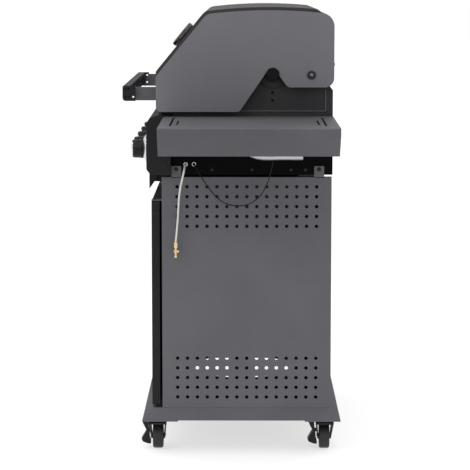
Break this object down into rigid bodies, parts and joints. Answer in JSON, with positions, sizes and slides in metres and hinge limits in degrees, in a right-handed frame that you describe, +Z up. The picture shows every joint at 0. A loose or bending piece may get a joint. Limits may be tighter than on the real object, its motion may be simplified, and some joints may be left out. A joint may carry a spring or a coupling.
{
  "type": "gas barbecue grill",
  "caption": "Gas barbecue grill on a wheeled cabinet, with a hinged lid, side shelves, a side burner and a grease tray.",
  "frame": {"origin": "on the floor, under the middle of the grill's bounding box", "axes": "+X to the grill's right-hand side, where the side burner is; -Y to its front, where the knobs and doors are; +Z up"},
  "size_m": [1.44, 0.549, 1.1318],
  "materials": {
    "coated_steel": "satin grey powder coat",
    "black_steel": "fine-textured black powder coat",
    "lid_enamel": "warm dark grey enamel",
    "bare_steel": "bare stainless sheet and tube",
    "chromed": "bright chrome",
    "cast_iron": "seasoned matt",
    "black_plastic": "moulded",
    "black_rubber": "matt",
    "brass": "turned",
    "aluminium_tube": "dull, as drawn"
  },
  "bodies": {
    "grill": {"base_tray": "coated_steel", "right_side_panel": "coated_steel", "left_side_panel": "coated_steel", "rear_panel": "coated_steel", "front_header": "black_steel", "firebox": "black_steel", "control_panel": "black_steel", "gas_manifold": "bare_steel", "burner_1": "bare_steel", "burner_2": "bare_steel", "burner_3": "bare_steel", "burner_4": "bare_steel", "flame_tamer_1": "bare_steel", "flame_tamer_2": "bare_steel", "flame_tamer_3": "bare_steel", "flame_tamer_4": "bare_steel", "cooking_grate_left": "cast_iron", "cooking_grate_right": "cast_iron", "warming_rack": "chromed", "lid_pivot_bolt_right": "bare_steel", "lid_pivot_bolt_left": "bare_steel", "spit_plug_right": "black_plastic", "spit_plug_left": "black_plastic", "right_shelf": "coated_steel", "left_shelf": "coated_steel", "side_burner": "bare_steel", "side_burner_grate": "cast_iron", "side_burner_gas_tube": "aluminium_tube", "gas_tube_fitting": "brass", "igniter_wire": "black_rubber"},
    "lid": {"lid_skin": "lid_enamel", "lid_cap_right": "coated_steel", "lid_cap_left": "coated_steel", "lid_handle": "black_steel", "handle_bracket_right": "coated_steel", "handle_bracket_left": "coated_steel", "lid_thermometer": "chromed"},
    "burner_cover": {"side_burner_lid": "coated_steel"},
    "door_right": {"right_door": "black_steel"},
    "door_left": {"left_door": "black_steel"},
    "grease_drawer": {"grease_tray": "black_steel"},
    "knob_a": {"knob_1": "black_plastic"},
    "knob_b": {"knob_2": "black_plastic"},
    "knob_c": {"knob_3": "black_plastic"},
    "knob_d": {"knob_4": "black_plastic"},
    "knob_e": {"knob_5": "black_plastic"},
    "caster_front_right": {"caster_fork_front_right": "black_steel"},
    "caster_back_right": {"caster_fork_back_right": "black_steel"},
    "caster_front_left": {"caster_fork_front_left": "black_steel"},
    "caster_back_left": {"caster_fork_back_left": "black_steel"},
    "wheel_front_right": {"caster_wheel_front_right": "black_rubber"},
    "wheel_back_right": {"caster_wheel_back_right": "black_rubber"},
    "wheel_front_left": {"caster_wheel_front_left": "black_rubber"},
    "wheel_back_left": {"caster_wheel_back_left": "black_rubber"},
    "brake_front_right": {"brake_lever_front_right": "black_plastic"},
    "brake_back_right": {"brake_lever_back_right": "black_plastic"}
  },
  "joints": [
    {"name": "lid_hinge", "type": "hinge", "parent": "grill", "child": "lid", "pos_m": [0.37, 0.1976, 0.964], "axis": [-1, 0, 0], "range_deg": [0, 85]},
    {"name": "burner_cover_hinge", "type": "hinge", "parent": "grill", "child": "burner_cover", "pos_m": [0.525, 0.214, 0.854], "axis": [-1, 0, 0], "range_deg": [0, 100]},
    {"name": "right_door_hinge", "type": "hinge", "parent": "grill", "child": "door_right", "pos_m": [0.344, -0.1935, 0.386], "axis": [0, 0, 1], "range_deg": [0, 110]},
    {"name": "left_door_hinge", "type": "hinge", "parent": "grill", "child": "door_left", "pos_m": [-0.344, -0.1935, 0.386], "axis": [0, 0, -1], "range_deg": [0, 110]},
    {"name": "grease_tray_slide", "type": "slide", "parent": "grill", "child": "grease_drawer", "axis": [0, -1, 0], "range_m": [0, 0.36]},
    {"name": "knob_1_turn", "type": "hinge", "parent": "grill", "child": "knob_a", "pos_m": [-0.24, -0.24, 0.7765], "axis": [0, -1, 0], "range_deg": [0, 240]},
    {"name": "knob_2_turn", "type": "hinge", "parent": "grill", "child": "knob_b", "pos_m": [-0.08, -0.24, 0.7765], "axis": [0, -1, 0], "range_deg": [0, 240]},
    {"name": "knob_3_turn", "type": "hinge", "parent": "grill", "child": "knob_c", "pos_m": [0.08, -0.24, 0.7765], "axis": [0, -1, 0], "range_deg": [0, 240]},
    {"name": "knob_4_turn", "type": "hinge", "parent": "grill", "child": "knob_d", "pos_m": [0.24, -0.24, 0.7765], "axis": [0, -1, 0], "range_deg": [0, 240]},
    {"name": "knob_5_turn", "type": "hinge", "parent": "grill", "child": "knob_e", "pos_m": [0.325, -0.24, 0.7765], "axis": [0, -1, 0], "range_deg": [0, 240]},
    {"name": "front_right_swivel", "type": "hinge", "parent": "grill", "child": "caster_front_right", "pos_m": [0.325, -0.19, 0.08], "axis": [0, 0, 1], "continuous": true},
    {"name": "back_right_swivel", "type": "hinge", "parent": "grill", "child": "caster_back_right", "pos_m": [0.325, 0.2365, 0.08], "axis": [0, 0, 1], "continuous": true},
    {"name": "front_left_swivel", "type": "hinge", "parent": "grill", "child": "caster_front_left", "pos_m": [-0.325, -0.19, 0.08], "axis": [0, 0, 1], "continuous": true},
    {"name": "back_left_swivel", "type": "hinge", "parent": "grill", "child": "caster_back_left", "pos_m": [-0.325, 0.2365, 0.08], "axis": [0, 0, 1], "continuous": true},
    {"name": "front_right_roll", "type": "hinge", "parent": "caster_front_right", "child": "wheel_front_right", "pos_m": [0.297, -0.19, 0.034], "axis": [0, 1, 0], "continuous": true},
    {"name": "back_right_roll", "type": "hinge", "parent": "caster_back_right", "child": "wheel_back_right", "pos_m": [0.297, 0.2365, 0.034], "axis": [0, 1, 0], "continuous": true},
    {"name": "front_left_roll", "type": "hinge", "parent": "caster_front_left", "child": "wheel_front_left", "pos_m": [-0.353, -0.19, 0.034], "axis": [0, 1, 0], "continuous": true},
    {"name": "back_left_roll", "type": "hinge", "parent": "caster_back_left", "child": "wheel_back_left", "pos_m": [-0.353, 0.2365, 0.034], "axis": [0, 1, 0], "continuous": true},
    {"name": "front_right_brake", "type": "hinge", "parent": "caster_front_right", "child": "brake_front_right", "pos_m": [0.297, -0.215, 0.047], "axis": [1, 0, 0], "range_deg": [-3, 5]},
    {"name": "back_right_brake", "type": "hinge", "parent": "caster_back_right", "child": "brake_back_right", "pos_m": [0.297, 0.2115, 0.047], "axis": [1, 0, 0], "range_deg": [-3, 5]}
  ]
}
